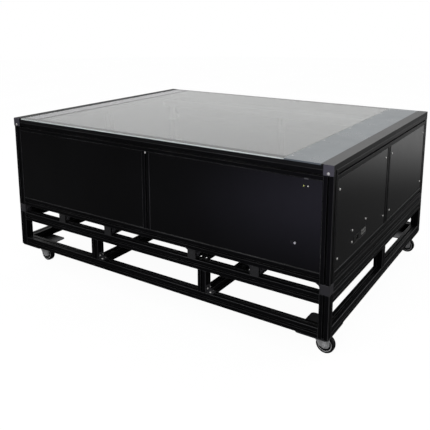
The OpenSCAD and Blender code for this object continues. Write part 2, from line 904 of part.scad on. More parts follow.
// Wheel: a tread on a hub with a raised boss, turned about the Y axis
module caster_wheel(sx, sy) {
    color("#8c8e90")
        translate([sx * swivel_x + caster_trail, sy * swivel_y, wheel_r]) rotate([90, 0, 0])
            rotate_extrude()
                polygon([
                    [axle_r + running_gap, -wheel_w / 2 - 1],
                    [10, -wheel_w / 2 - 1],
                    [11, -wheel_w / 2 + 4],
                    [wheel_r - 10, -wheel_w / 2 + 4],
                    [wheel_r - 9, -wheel_w / 2],
                    [wheel_r - 3, -wheel_w / 2],
                    [wheel_r, -wheel_w / 2 + 4],
                    [wheel_r, wheel_w / 2 - 4],
                    [wheel_r - 3, wheel_w / 2],
                    [wheel_r - 9, wheel_w / 2],
                    [wheel_r - 10, wheel_w / 2 - 4],
                    [11, wheel_w / 2 - 4],
                    [10, wheel_w / 2 + 1],
                    [axle_r + running_gap, wheel_w / 2 + 1]
                ]);
}

module caster_fork_front_left() {
    caster_fork(-1, -1);
}

module caster_fork_front_right() {
    caster_fork(1, -1);
}

module caster_fork_back_left() {
    caster_fork(-1, 1);
}

module caster_fork_back_right() {
    caster_fork(1, 1);
}

module caster_wheel_front_left() {
    caster_wheel(-1, -1);
}

module caster_wheel_front_right() {
    caster_wheel(1, -1);
}

module caster_wheel_back_left() {
    caster_wheel(-1, 1);
}

module caster_wheel_back_right() {
    caster_wheel(1, 1);
}

// ---------- Nodes ----------

stand_corner_posts();
stand_short_posts();
stand_bottom_rails();
stand_top_rails();
corner_cubes();
cabinet_beams();
beam_end_caps();
gusset_brackets();
cabinet_corner_posts();
cabinet_middle_posts();
cabinet_bottom_rails();
cabinet_top_rails();
top_frame();
glass_plate();
cover_plate();
cover_screws();
origin_ruler();
corner_brackets();
front_panel_left();
front_panel_right();
side_panels();
connector_side_panel();
back_panel_plain();
back_panel_vented();
button_head_screws();
panel_tabs();
floor_pan();
indicator_lenses();
start_button();
button_escutcheon();
connector_plate();
power_inlet();
mains_rocker();
data_ports();
guide_beams();
guide_rails();
carriage_chassis();
bearing_blocks();
lamp_bars();
camera_modules();
drive_shaft();
drive_pulleys();
drive_belts();
idler_pulley_front();
idler_pulley_back();
shaft_hangers();
drive_motor();
controller_board();
power_supply();
fan_housing();
fan_rotor();
caster_plates();
caster_fork_front_left();
caster_fork_front_right();
caster_fork_back_left();
caster_fork_back_right();
caster_wheel_front_left();
caster_wheel_front_right();
caster_wheel_back_left();
caster_wheel_back_right();
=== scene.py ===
"""Looks of the large-format flatbed scanner: its pieces, materials, light and camera."""

import json
import math
import random

import bmesh
import bpy
from mathutils import Matrix, Vector


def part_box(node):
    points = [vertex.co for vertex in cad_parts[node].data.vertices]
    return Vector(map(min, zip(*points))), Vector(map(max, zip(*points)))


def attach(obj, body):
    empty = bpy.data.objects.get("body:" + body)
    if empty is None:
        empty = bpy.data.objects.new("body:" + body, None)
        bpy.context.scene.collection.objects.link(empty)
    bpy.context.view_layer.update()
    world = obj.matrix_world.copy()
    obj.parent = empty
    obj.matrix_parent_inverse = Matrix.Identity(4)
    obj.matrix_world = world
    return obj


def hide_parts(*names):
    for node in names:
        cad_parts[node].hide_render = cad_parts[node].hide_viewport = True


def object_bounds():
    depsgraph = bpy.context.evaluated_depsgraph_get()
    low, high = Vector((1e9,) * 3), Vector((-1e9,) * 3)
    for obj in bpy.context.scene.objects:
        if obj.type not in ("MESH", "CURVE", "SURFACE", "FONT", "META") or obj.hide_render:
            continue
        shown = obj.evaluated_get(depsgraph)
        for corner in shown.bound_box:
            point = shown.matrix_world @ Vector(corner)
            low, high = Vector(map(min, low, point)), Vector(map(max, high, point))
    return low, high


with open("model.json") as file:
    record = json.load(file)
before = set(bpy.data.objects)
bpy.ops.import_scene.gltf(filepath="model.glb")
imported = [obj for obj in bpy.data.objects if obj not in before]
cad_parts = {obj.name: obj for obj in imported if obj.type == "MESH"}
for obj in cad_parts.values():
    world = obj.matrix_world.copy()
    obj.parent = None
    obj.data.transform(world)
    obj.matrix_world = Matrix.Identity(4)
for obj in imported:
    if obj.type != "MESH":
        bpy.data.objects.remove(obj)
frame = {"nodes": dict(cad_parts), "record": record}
cad_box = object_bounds()
NODES = frame["nodes"]

WELD = 2e-6  # metres: corners closer than this are one
TOUCH = 1e-5  # metres: slack when a point is looked up inside a box
FLAT = math.radians(0.4)  # facets bent by less than this are merged
SOFTENED = math.radians(30)  # edges sharper than this are softened
SHARP = math.radians(38)  # edges sharper than this stay crisp in the shading

# ---------------------------------------------------------------- materials

MATERIALS = {}


def map_range(tree, value, low, high, start, end, smooth=False):
    """Maps value from start..end onto low..high, in a straight line or eased at both ends."""
    node = tree.nodes.new("ShaderNodeMapRange")
    if smooth:
        node.interpolation_type = "SMOOTHSTEP"
    node.inputs["From Min"].default_value = start
    node.inputs["From Max"].default_value = end
    node.inputs["To Min"].default_value = low
    node.inputs["To Max"].default_value = high
    tree.links.new(value, node.inputs["Value"])
    return node.outputs["Result"]


def feed(tree, socket, value):
    """Sets a socket to a number or a colour, or links an output to it."""
    if isinstance(value, tuple):
        socket.default_value = (*value, 1)
    elif isinstance(value, (int, float)):
        socket.default_value = value
    else:
        tree.links.new(value, socket)


def maths(tree, operation, a, b):
    node = tree.nodes.new("ShaderNodeMath")
    node.operation = operation
    feed(tree, node.inputs[0], a)
    feed(tree, node.inputs[1], b)
    return node.outputs["Value"]


def by_light_path(tree, ray, usual, special, output):
    """Shows special to one kind of ray and usual to every other."""
    path = tree.nodes.new("ShaderNodeLightPath")
    pick = tree.nodes.new("ShaderNodeMixShader")
    tree.links.new(path.outputs[ray], pick.inputs["Fac"])
    tree.links.new(usual, pick.inputs[1])
    tree.links.new(special, pick.inputs[2])
    tree.links.new(pick.outputs["Shader"], tree.nodes[output].inputs["Surface"])


class Shader:
    """A material's node tree, with short calls for the nodes that the surfaces below share."""

    def __init__(self, name):
        self.material = bpy.data.materials.new(name)
        self.material.use_nodes = True
        self.tree = self.material.node_tree
        self.bsdf = self.tree.nodes["Principled BSDF"]
        self.coords = self.tree.nodes.new("ShaderNodeTexCoord").outputs["Object"]

    def set(self, **values):
        for key, value in values.items():
            self.bsdf.inputs[key.replace("_", " ")].default_value = value

    def link(self, output, key):
        self.tree.links.new(output, self.bsdf.inputs[key])

    def stretched(self, stretch):
        mapping = self.tree.nodes.new("ShaderNodeMapping")
        mapping.inputs["Scale"].default_value = stretch
        self.tree.links.new(self.coords, mapping.inputs["Vector"])
        return mapping.outputs["Vector"]

    def noise(self, scale, detail=4.0, stretch=(1, 1, 1), rough=0.55):
        node = self.tree.nodes.new("ShaderNodeTexNoise")
        node.inputs["Scale"].default_value = scale
        node.inputs["Detail"].default_value = detail
        node.inputs["Roughness"].default_value = rough
        self.tree.links.new(self.stretched(stretch), node.inputs["Vector"])
        return node.outputs["Fac"]

    def spread(self, factor, low, high, start=0.3, end=0.7):
        return map_range(self.tree, factor, low, high, start, end)

    def blend(self, factor, low, high, start=0.35, end=0.65):
        """A colour between low and high, by factor."""
        node = self.tree.nodes.new("ShaderNodeValToRGB")
        node.color_ramp.elements[0].position = start
        node.color_ramp.elements[1].position = end
        node.color_ramp.elements[0].color = (*low, 1)
        node.color_ramp.elements[1].color = (*high, 1)
        self.tree.links.new(factor, node.inputs["Fac"])
        return node.outputs["Color"]

    def maths(self, operation, a, b):
        return maths(self.tree, operation, a, b)

    def mix(self, factor, a, b, blend="MIX"):
        node = self.tree.nodes.new("ShaderNodeMix")
        node.data_type = "RGBA"
        node.blend_type = blend
        feed(self.tree, node.inputs["Factor"], factor)
        feed(self.tree, node.inputs["A"], a)
        feed(self.tree, node.inputs["B"], b)
        return node.outputs["Result"]

    def bump(self, height, strength, distance):
        node = self.tree.nodes.new("ShaderNodeBump")
        node.inputs["Strength"].default_value = strength
        node.inputs["Distance"].default_value = distance
        self.tree.links.new(height, node.inputs["Height"])
        self.link(node.outputs["Normal"], "Normal")


def shade(colour, k):
    """A colour times k, no brighter than 1."""
    return tuple(min(1.0, c * k) for c in colour)


def coated(name, colour, rough, spec=0.5, metal=0.0, grain=700, relief=0.00004, vary=0.25, smudge=0.06):
    """A painted or moulded surface: fine orange peel, cloudy colour and faint smudges in the gloss."""
    s = Shader(name)
    s.set(Metallic=metal, Specular_IOR_Level=spec)
    cloud = s.noise(3.2, 5)
    s.link(s.blend(cloud, shade(colour, 1 - vary), shade(colour, 1 + vary)), "Base Color")
    smear = s.noise(9, 8, rough=0.7)
    s.link(s.spread(smear, rough - smudge, rough + smudge), "Roughness")
    s.bump(s.noise(grain, 3), 0.35, relief)
    MATERIALS[name] = s.material


def drawn_metal(name, colour, rough, along, metal=1.0, spec=0.5, vary=0.2, lines=2600):
    """Extruded, ground or brushed metal with fine lines along one axis."""
    stretch = tuple(0.012 if axis == along else 1.0 for axis in "xyz")
    s = Shader(name)
    s.set(Metallic=metal, Specular_IOR_Level=spec)
    streaks = s.noise(lines, 3, stretch)
    cloud = s.noise(5, 5)
    tone = s.maths("ADD", s.maths("MULTIPLY", streaks, 0.5), s.maths("MULTIPLY", cloud, 0.5))
    s.link(s.blend(tone, shade(colour, 1 - vary), shade(colour, 1 + vary)), "Base Color")
    s.link(s.spread(tone, rough - 0.07, rough + 0.07), "Roughness")
    s.bump(streaks, 0.25, 0.00003)
    MATERIALS[name] = s.material


def bed_glass():
    """Clear glass that lets lamps through, with the black line and the lighter border printed under it."""
    s = Shader("bed_glass")
    s.set(Transmission_Weight=0.985, IOR=1.52)
    ruler_low, ruler_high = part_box("origin_ruler")
    blur = 0.0005
    split = s.tree.nodes.new("ShaderNodeSeparateXYZ")
    s.tree.links.new(s.coords, split.inputs["Vector"])
    beyond = s.spread(split.outputs["X"], 1.0, 0.0, ruler_low[0] - blur, ruler_low[0] + blur)
    before = s.spread(split.outputs["X"], 1.0, 0.0, ruler_high[0] - blur, ruler_high[0] + blur)
    line = s.maths("SUBTRACT", before, beyond)
    bed = s.blend(s.noise(2.5, 6), (0.9, 0.92, 0.91), (0.94, 0.96, 0.95))
    border = s.mix(beyond, bed, (0.93, 0.93, 0.97))
    s.link(s.mix(line, border, (0.04, 0.04, 0.045)), "Base Color")
    s.link(s.spread(s.noise(4, 9, rough=0.75), 0.01, 0.05, 0.45, 0.8), "Roughness")
    clear = s.tree.nodes.new("ShaderNodeBsdfTransparent")
    clear.inputs["Color"].default_value = (0.84, 0.87, 0.86, 1)
    by_light_path(s.tree, "Is Shadow Ray", s.bsdf.outputs["BSDF"], clear.outputs["BSDF"], "Material Output")
    MATERIALS["float_glass"] = s.material


# Materials by the names of the record's slots
for axis in "xyz":
    drawn_metal("anodised_" + axis, (0.003, 0.003, 0.0034), 0.4, axis, metal=0.0, spec=0.09)
    drawn_metal("clear_alu_" + axis, (0.45, 0.45, 0.46), 0.4, axis)
MATERIALS["black_profile"] = MATERIALS["anodised_x"]
MATERIALS["beam_alu"] = MATERIALS["clear_alu_x"]
bed_glass()
coated("cast_bracket", (0.03, 0.03, 0.033), 0.5, spec=0.35, grain=420, relief=0.0001)
coated("corner_cube", (0.035, 0.034, 0.038), 0.45, spec=0.4, grain=420, relief=0.0001)
coated("end_cap", (0.025, 0.025, 0.026), 0.5, spec=0.4, grain=900)
drawn_metal("top_strip", (0.045, 0.045, 0.045), 0.45, "y", metal=0.0, spec=0.4)
coated("cover_metal", (0.112, 0.134, 0.15), 0.3, spec=0.9, vary=0.06, grain=1500)
coated("screw_steel", (0.86, 0.85, 0.83), 0.28, metal=0.6, vary=0.08)
coated("ruler_grey", (0.1, 0.1, 0.105), 0.4)
coated("corner_plate", (0.075, 0.072, 0.09), 0.4)
coated("panel_black", (0.0018, 0.0018, 0.0022), 0.25, spec=0.33, grain=1400, smudge=0.02, relief=0.00001)
coated("tab_zinc", (0.6, 0.61, 0.62), 0.35, metal=1.0)
coated("pan_grey", (0.03, 0.03, 0.032), 0.5)
coated("lens", (0.62, 0.66, 0.2), 0.18)
coated("button_metal", (0.88, 0.88, 0.87), 0.22, metal=0.6, vary=0.06)
coated("escutcheon", (0.005, 0.005, 0.005), 0.25)
coated("connector_black", (0.01, 0.01, 0.01), 0.45, grain=1600)
coated("connector_sheet", (0.012, 0.012, 0.013), 0.4)
coated("port_metal", (0.42, 0.42, 0.41), 0.25, metal=0.6)
drawn_metal("rail_steel", (0.6, 0.61, 0.62), 0.25, "x")
coated("carriage_black", (0.02, 0.02, 0.022), 0.55)
coated("bearing_steel", (0.35, 0.36, 0.38), 0.35, metal=1.0)
coated("lamp_diffuser", (0.85, 0.86, 0.82), 0.3)
coated("camera_body", (0.03, 0.035, 0.035), 0.45)
drawn_metal("pulley_alu", (0.55, 0.56, 0.57), 0.3, "y")
coated("belt_rubber", (0.012, 0.012, 0.012), 0.7)
drawn_metal("hanger_alu", (0.32, 0.33, 0.35), 0.35, "z")
coated("motor_coat", (0.03, 0.03, 0.035), 0.45)
coated("board_green", (0.02, 0.14, 0.05), 0.35)
drawn_metal("supply_case", (0.5, 0.51, 0.52), 0.4, "x")
coated("fan_black", (0.015, 0.015, 0.015), 0.45)
coated("caster_sheet", (0.1, 0.1, 0.105), 0.35, metal=0.8)
coated("caster_zinc", (0.66, 0.66, 0.67), 0.38, metal=0.45, vary=0.1)
coated("caster_tread", (0.007, 0.007, 0.007), 0.65, spec=0.2, grain=1200, relief=0.00008)
# Materials that only parts of a piece have
# The top strip's own finish made near-black for its sides, undersides and left-hand tops, a painted shade
drawn_metal("strip_side_painted_shade", (0.008, 0.008, 0.0085), 0.5, "y", metal=0.0, spec=0.15)
# The glass edge's green tint lifted to near-white, partly its ground finish and partly a painted highlight
coated("glass_edge_tint_and_highlight", (0.8, 0.86, 0.84), 0.3, vary=0.06, grain=2500, relief=0.00008)
coated("lens_white", (0.72, 0.7, 0.66), 0.18)
coated("hub_grey", (0.62, 0.62, 0.63), 0.4, vary=0.08, grain=1000)
# Near-black patches that stand for vent holes, a painted shade
coated("vent_painted_shade", (0.004, 0.004, 0.004), 0.6)
coated("gold", (0.8, 0.62, 0.25), 0.3, metal=1.0)
coated("chip", (0.012, 0.012, 0.014), 0.5, grain=1800)
coated("white_part", (0.6, 0.6, 0.57), 0.45)
coated("camera_glass", (0.01, 0.008, 0.03), 0.06, spec=0.8, vary=0.5, smudge=0.02)
coated("led", (0.9, 0.86, 0.6), 0.2)
coated("clip_grey", (0.1, 0.1, 0.105), 0.4, metal=0.3)
# Lighter black for bevelled edges, a painted highlight on the black profiles and panels; the hanging
# brackets' screws use it as painted shade
coated("glint_and_shade_black", (0.035, 0.035, 0.037), 0.38, vary=0.6, smudge=0.1)

SLOT_OF = {row["node"]: row["material_slot"] for row in frame["record"]["subparts"]}
BODY_OF = {}
for body, names in frame["record"]["behaviour"]["bodies"].items():
    BODY_OF.update({node: body for node in names})
for name, obj in NODES.items():
    obj.data.materials.clear()
    obj.data.materials.append(MATERIALS[SLOT_OF[name]])

# ---------------------------------------------------------------- building tools


def place(origin, normal=(0, 0, 1), up=(0, 0, 1)):
    """A matrix that puts local Z along normal and local Y near up."""
    z = Vector(normal).normalized()
    y = Vector(up) - Vector(up).project(z)
    if y.length < 1e-6:  # normal and up are parallel, so Y takes over from up
        y = Vector((0, 1, 0)) - Vector((0, 1, 0)).project(z)
    y.normalize()
    x = y.cross(z)
    turn = Matrix((x, y, z)).transposed().to_4x4()
    return Matrix.Translation(Vector(origin)) @ turn


def node_mesh(node):
    """A node's surface as one welded mesh."""
    bm = bmesh.new()
    bm.from_mesh(NODES[node].data)
    bmesh.ops.remove_doubles(bm, verts=bm.verts, dist=WELD)
    return bm


def islands(node):
    """The separate lumps of a node, each as its lowest and highest corner."""
    bm = node_mesh(node)
    seen = set()
    found = []
    for start in bm.verts:
        if start in seen:
            continue
        seen.add(start)
        stack = [start]
        group = []
        while stack:
            vert = stack.pop()
            group.append(vert.co.copy())
            for edge in vert.link_edges:
                other = edge.other_vert(vert)
                if other not in seen:
                    seen.add(other)
                    stack.append(other)
        low = Vector([min(p[k] for p in group) for k in range(3)])
        high = Vector([max(p[k] for p in group) for k in range(3)])
        found.append((low, high))
    bm.free()
    return sorted(found, key=lambda pair: tuple(round(v, 4) for v in pair[0]))


def lathe(bm, outline, matrix, steps=24, hexes=(), material=0):
    """Turns (radius, height) points about local Z; rings in hexes are hexagons across their flats."""
    rings = []
    for index, (radius, height) in enumerate(outline):
        ring = []
        for k in range(steps):
            angle = 2 * math.pi * k / steps
            r = radius
            if index in hexes:
                off = (angle + math.pi / 6) % (math.pi / 3) - math.pi / 6
                r = radius / math.cos(off)
            ring.append(bm.verts.new(matrix @ Vector((r * math.cos(angle), r * math.sin(angle), height))))
        rings.append(ring)
    faces = []
    for lower, upper in zip(rings, rings[1:]):
        for k in range(steps):
            faces.append(bm.faces.new((lower[k], lower[(k + 1) % steps], upper[(k + 1) % steps], upper[k])))
    faces.append(bm.faces.new(rings[0][::-1]))
    faces.append(bm.faces.new(rings[-1]))
    for face in faces:
        face.material_index = material
        face.smooth = True
    faces[-1].smooth = faces[-2].smooth = False


def slab(bm, outline, thickness, matrix, material=0):
    """Extrudes an (x, y) outline from local z = 0 up."""
    low = [bm.verts.new(matrix @ Vector((x, y, 0))) for x, y in outline]
    high = [bm.verts.new(matrix @ Vector((x, y, thickness))) for x, y in outline]
    faces = [bm.faces.new(low[::-1]), bm.faces.new(high)]
    for k in range(len(outline)):
        n = (k + 1) % len(outline)
        faces.append(bm.faces.new((low[k], low[n], high[n], high[k])))
    for face in faces:
        face.material_index = material


def block(bm, low, high, edge=0.0005, material=0):
    """A block, with its edges cut off at 45 degrees where edge is more than 0."""
    made = {}

    def corner(spot, axis):
        """The corner at spot (0 or 1 along each axis), on the side that faces along axis."""
        key = (spot, axis if edge > 0 else 0)
        if key not in made:
            point = [(low, high)[spot[k]][k] for k in range(3)]
            for k in range(3):
                if k != axis:
                    point[k] += edge * (1 - 2 * spot[k])
            made[key] = bm.verts.new(point)
        return made[key]

    def face(*corners):
        bm.faces.new(corners).material_index = material

    square = ((0, 0), (1, 0), (1, 1), (0, 1))
    for axis in range(3):
        for end in (0, 1):
            face(*(corner(pair[:axis] + (end,) + pair[axis:], axis) for pair in square))
    if edge > 0:
        for axis in range(3):
            one, two = (k for k in range(3) if k != axis)
            for pair in square:
                start = pair[:axis] + (0,) + pair[axis:]
                stop = pair[:axis] + (1,) + pair[axis:]
                face(corner(start, one), corner(stop, one), corner(stop, two), corner(start, two))
        for x in (0, 1):
            for pair in square:
                face(*(corner((x, *pair), axis) for axis in range(3)))


def rounded(w, d, r, steps=5):
    """Outline of a rectangle with round corners."""
    points = []
    for cx, cy, start in ((w / 2 - r, d / 2 - r, 0), (-w / 2 + r, d / 2 - r, 90),
                          (-w / 2 + r, -d / 2 + r, 180), (w / 2 - r, -d / 2 + r, 270)):
        for k in range(steps + 1):
            angle = math.radians(start + 90 * k / steps)
            points.append((cx + r * math.cos(angle), cy + r * math.sin(angle)))
    return points


def apply_modifiers(obj):
    """Puts the modifiers' result in place of the object's mesh."""
    graph = bpy.context.evaluated_depsgraph_get()
    done = bpy.data.meshes.new_from_object(obj.evaluated_get(graph))
    obj.modifiers.clear()
    obj.data = done


def piece(name, bm, materials, node, replace=True, soften=0.0, segments=2, edge_material=-1):
    """Makes an object of the mesh, with softened edges, on the body of the node it belongs to."""
    bmesh.ops.recalc_face_normals(bm, faces=bm.faces)
    mesh = bpy.data.meshes.new(name)
    bm.to_mesh(mesh)
    bm.free()
    for material in materials:
        mesh.materials.append(MATERIALS[material])
    obj = bpy.data.objects.new(name, mesh)
    bpy.context.scene.collection.objects.link(obj)
    if soften > 0:
        bevel = obj.modifiers.new("edges", "BEVEL")
        bevel.width = soften
        bevel.segments = segments
        bevel.limit_method = "ANGLE"
        bevel.angle_limit = SOFTENED
        bevel.material = edge_material
        apply_modifiers(obj)
    obj.data.shade_smooth()
    obj.data.set_sharp_from_angle(angle=SHARP)
    even = obj.modifiers.new("even", "WEIGHTED_NORMAL")
    even.keep_sharp = True
    apply_modifiers(obj)
    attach(obj, BODY_OF[node])
    if replace:
        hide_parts(node)


def finished(node, soften, materials=None, choose=None, segments=2, edge_glint=None):
    """A copy of a node with broken edges; choose gives a face's material, and the last argument names the
    bevels' own lighter material, a painted highlight.
    """
    bm = node_mesh(node)
    bmesh.ops.dissolve_limit(bm, angle_limit=FLAT, verts=bm.verts, edges=bm.edges)
    bmesh.ops.remove_doubles(bm, verts=bm.verts, dist=WELD)
    if choose:
        for face in bm.faces:
            face.material_index = choose(face)
    materials = list(materials or [SLOT_OF[node]])
    if edge_glint:
        materials.append(edge_glint)
    piece(node + "_finish", bm, materials, node, soften=soften, segments=segments,
          edge_material=len(materials) - 1 if edge_glint else -1)


def along_members(node, metal, edge_glint=None):
    """Finishes a profile node so that each length has its grain along itself."""
    spans = islands(node)

    def longest_axis(face):
        middle = face.calc_center_median()
        best, longest = 0, -1.0
        for low, high in spans:
            if all(low[k] - TOUCH <= middle[k] <= high[k] + TOUCH for k in range(3)):
                size = high - low
                if max(size) > longest:
                    longest = max(size)
                    best = max(range(3), key=lambda k: size[k])
        return best

    finished(node, 0.0006, [metal + a for a in "xyz"], longest_axis, edge_glint=edge_glint)


def socket_head(bm, matrix, r, h, hex_r, material=0):
    """Domed button head with a flange lip and a hexagon socket."""
    dome = [(r * 0.97, 0), (r, h * 0.12), (r * 0.985, h * 0.28), (r * 0.9, h * 0.55),
            (r * 0.75, h * 0.8), (r * 0.55, h * 0.96), (hex_r * 1.12, h)]
    socket = [(hex_r, h * 0.93), (hex_r, h * 0.35)]
    lathe(bm, dome + socket, matrix, hexes=(7, 8), material=material)


def sides(node):
    """A node's lowest and highest corner as vectors."""
    low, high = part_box(node)
    return Vector(low), Vector(high)


# ---------------------------------------------------------------- slotted frame

for node in ("stand_corner_posts", "stand_short_posts", "stand_bottom_rails", "stand_top_rails",
             "cabinet_beams", "cabinet_corner_posts", "cabinet_middle_posts", "cabinet_bottom_rails",
             "cabinet_top_rails"):
    # Their bevels take the lighter black, a painted highlight
    along_members(node, "anodised_", "glint_and_shade_black")
along_members("guide_beams", "clear_alu_")

finished("corner_cubes", 0.0025, segments=3)
finished("corner_brackets", 0.0008)
finished("cover_plate", 0.0006)
# The glass's side faces are near-white and opaque, a painted highlight over the ground edge's tint
finished("glass_plate", 0.0012, ["float_glass", "glass_edge_tint_and_highlight"],
         lambda face: 0 if abs(face.normal.z) > 0.9 else 1)
# Only the upward faces on the right half keep the strip's finish; every other face is near-black, a painted
# shade
finished("top_frame", 0.0007, ["top_strip", "strip_side_painted_shade"],
         lambda face: 0 if face.normal.z > 0.5 and face.calc_center_median().x > 0 else 1)
for node in ("front_panel_left", "front_panel_right", "side_panels", "connector_side_panel",
             "back_panel_plain", "back_panel_vented"):
    # The panels' bevels take the lighter black, a painted highlight
    finished(node, 0.0006, edge_glint="glint_and_shade_black")
finished("panel_tabs", 0.0003, ["tab_zinc", "clip_grey"],
         lambda face: 1 if face.calc_center_median().y < cad_box[0][1] + 0.02 else 0)
for node in ("floor_pan", "carriage_chassis", "bearing_blocks", "shaft_hangers", "guide_rails"):
    finished(node, 0.0004)
for node in ("start_button", "button_escutcheon", "connector_plate", "power_inlet", "mains_rocker"):
    finished(node, 0.0003)


def beam_caps():
    """Moulded caps: a rim round a shallow dished face with a cross of ribs and a middle plug."""
    corner, rim = 0.002, 0.0025
    reach, half = 0.021, 0.0012
    rib = [(-reach, -half), (reach, -half), (reach, half), (-reach, half)]
    bm = bmesh.new()
    for low, high in islands("beam_end_caps"):
        middle = (low + high) / 2
        side = 1 if middle.y > 0 else -1
        size = high - low
        base = place((middle.x, low.y if side > 0 else high.y, middle.z), (0, side, 0))
        t = size.y
        outer = rounded(size.x, size.z, corner)
        inner = rounded(size.x - 2 * rim, size.z - 2 * rim, 0.0015)
        slab(bm, outer, t * 0.55, base)
        rings = []
        for outline, height in ((outer, 0.5 * t), (outer, 0.93 * t), (inner, t), (inner, 0.5 * t)):
            rings.append([bm.verts.new(base @ Vector((x, y, height))) for x, y in outline])
        count = len(outer)
        for a, b in zip(rings, rings[1:]):
            for k in range(count):
                bm.faces.new((a[k], a[(k + 1) % count], b[(k + 1) % count], b[k]))
        for turn in (45, 135):
            slab(bm, rib, t * 0.85, base @ Matrix.Rotation(math.radians(turn), 4, "Z"))
        plug = [(0.0075, 0), (0.0075, t * 0.85), (0.0068, t * 0.98), (0.003, t * 0.98), (0.0025, t * 0.7)]
        lathe(bm, plug, base, 28)
    piece("beam_cap_mouldings", bm, ["end_cap"], "beam_end_caps", soften=0.0002, segments=1)


def casting_height(corners, low, high, foot):
    """How far a bracket reaches from its foot along its low-x face."""
    slack = 10 * TOUCH
    reach = 0.0
    for p in corners:
        on_face = abs(p.x - low.x) < slack
        beside = low.y - slack < p.y < high.y + slack and low.z - slack < p.z < high.z + slack
        if on_face and beside:
            reach = max(reach, abs(p.z - foot))
    return reach


def castings():
    """Cast corner brackets: two base plates, a middle rib, and two screws in each plate."""
    bm = bmesh.new()
    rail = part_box("cabinet_bottom_rails")
    cast = node_mesh("gusset_brackets")
    corners = [vert.co.copy() for vert in cast.verts]
    cast.free()
    t = 0.0035
    rib_half = 0.0025
    for low, high in islands("gusset_brackets"):
        middle = (low + high) / 2
        leg, half = high.x - low.x, (high.y - low.y) / 2
        hangs = abs(high.z - rail[0][2]) < 0.001
        z0, rise = (high.z, -1) if hangs else (low.z, 1)
        tall = casting_height(corners, low, high, z0)
        x0, out = (low.x, 1) if tall > leg * 0.5 else (high.x, -1)

        def at(x, z):
            return Vector((x0 + out * x, middle.y, z0 + rise * z))

        for a, b in (((0, 0), (leg, t)), ((0, 0), (t, leg))):
            p, q = at(*a), at(*b)
            block(bm, (min(p.x, q.x), low.y, min(p.z, q.z)), (max(p.x, q.x), high.y, max(p.z, q.z)), 0.0008)
        rib = [(t, t), (leg - 0.001, t), (leg - 0.002, t + 0.002), (t + 0.006, leg * 0.55),
               (t + 0.002, leg - 0.002), (t, leg - 0.001)]
        faces = []
        for dy in (-rib_half, rib_half):
            faces.append([bm.verts.new(at(x, z) + Vector((0, dy, 0))) for x, z in rib])
        bm.faces.new(faces[0])
        bm.faces.new(faces[1][::-1])
        for k in range(len(rib)):
            n = (k + 1) % len(rib)
            bm.faces.new((faces[0][k], faces[0][n], faces[1][n], faces[1][k]))
        r = 0.0044 if half > 0.012 else 0.0034
        # Screws of brackets that hang under the rails take the dark edge black instead of steel, a painted
        # shade
        metal = 2 if hangs else 1
        for s in (-1, 1):
            dy = Vector((0, s * half * 0.6, 0))
            socket_head(bm, place(at(leg * 0.55, t) + dy, (0, 0, rise)), r, 0.003, r * 0.36, metal)
            socket_head(bm, place(at(t, leg * 0.55) + dy, (out, 0, 0)), r, 0.003, r * 0.36, metal)
    piece("corner_castings", bm, ["cast_bracket", "screw_steel", "glint_and_shade_black"], "gusset_brackets")


def button_heads():
    """Every panel and corner screw as a domed head on a washer, facing out of the box."""
    bm = bmesh.new()
    for low, high in islands("button_head_screws"):
        size = high - low
        middle = (low + high) / 2
        k = min(range(3), key=lambda i: size[i])
        sign = 1 if middle[k] > 0 else -1
        normal = [0, 0, 0]
        normal[k] = sign
        foot = middle.copy()
        foot[k] = low[k] if sign > 0 else high[k]
        r = max(size) / 2
        socket_head(bm, place(foot, normal), r, size[k], r * 0.36)
        lathe(bm, [(r * 1.02, 0), (r * 1.02, size[k] * 0.1)], place(foot, normal))
    piece("socket_screws", bm, ["screw_steel"], "button_head_screws")


def cover_heads():
    """The cover plate's small screws, each with a hexagon socket."""
    bm = bmesh.new()
    for low, high in islands("cover_screws"):
        middle = (low + high) / 2
        r = (high.x - low.x) / 2
        h = high.z - low.z
        head = [(r, 0), (r * 0.96, h * 0.5), (r * 0.7, h * 0.95), (r * 0.42, h), (r * 0.4, h * 0.3)]
        lathe(bm, head, place((middle.x, middle.y, low.z)), 24, hexes=(3, 4))
    piece("cover_screw_heads", bm, ["screw_steel"], "cover_screws")


beam_caps()
castings()
button_heads()
cover_heads()

# ---------------------------------------------------------------- casters


def caster_plate_sheets():
    """Pressed plates with a raised race seat, round corners and bolts into the rails above."""
    bm = bmesh.new()
    for low, high in islands("caster_plates"):
        middle = (low + high) / 2
        size = high - low
        base = place((middle.x, middle.y, low.z))
        slab(bm, rounded(size.x, size.y, 0.014, 8), size.z, base)
        lathe(bm, [(0.034, -0.0004), (0.034, 0.0002)], base, 40)
        for sx in (-1, 1):
            for sy in (-1, 1):
                x, y = sx * (size.x / 2 - 0.019), sy * (size.y / 2 - 0.02)
                under = place((middle.x + x, middle.y + y, low.z), (0, 0, -1))
                washer = [(0.0085, 0), (0.0085, 0.0012), (0.0078, 0.0015)]
                head = [(0.0058, 0.001), (0.0058, 0.0052), (0.005, 0.0062)]
                lathe(bm, washer, under, 28, material=1)
                lathe(bm, head, under, 24, hexes=(0, 1), material=1)
    piece("caster_plate_sheets", bm, ["caster_sheet", "screw_steel"], "caster_plates", soften=0.0006)


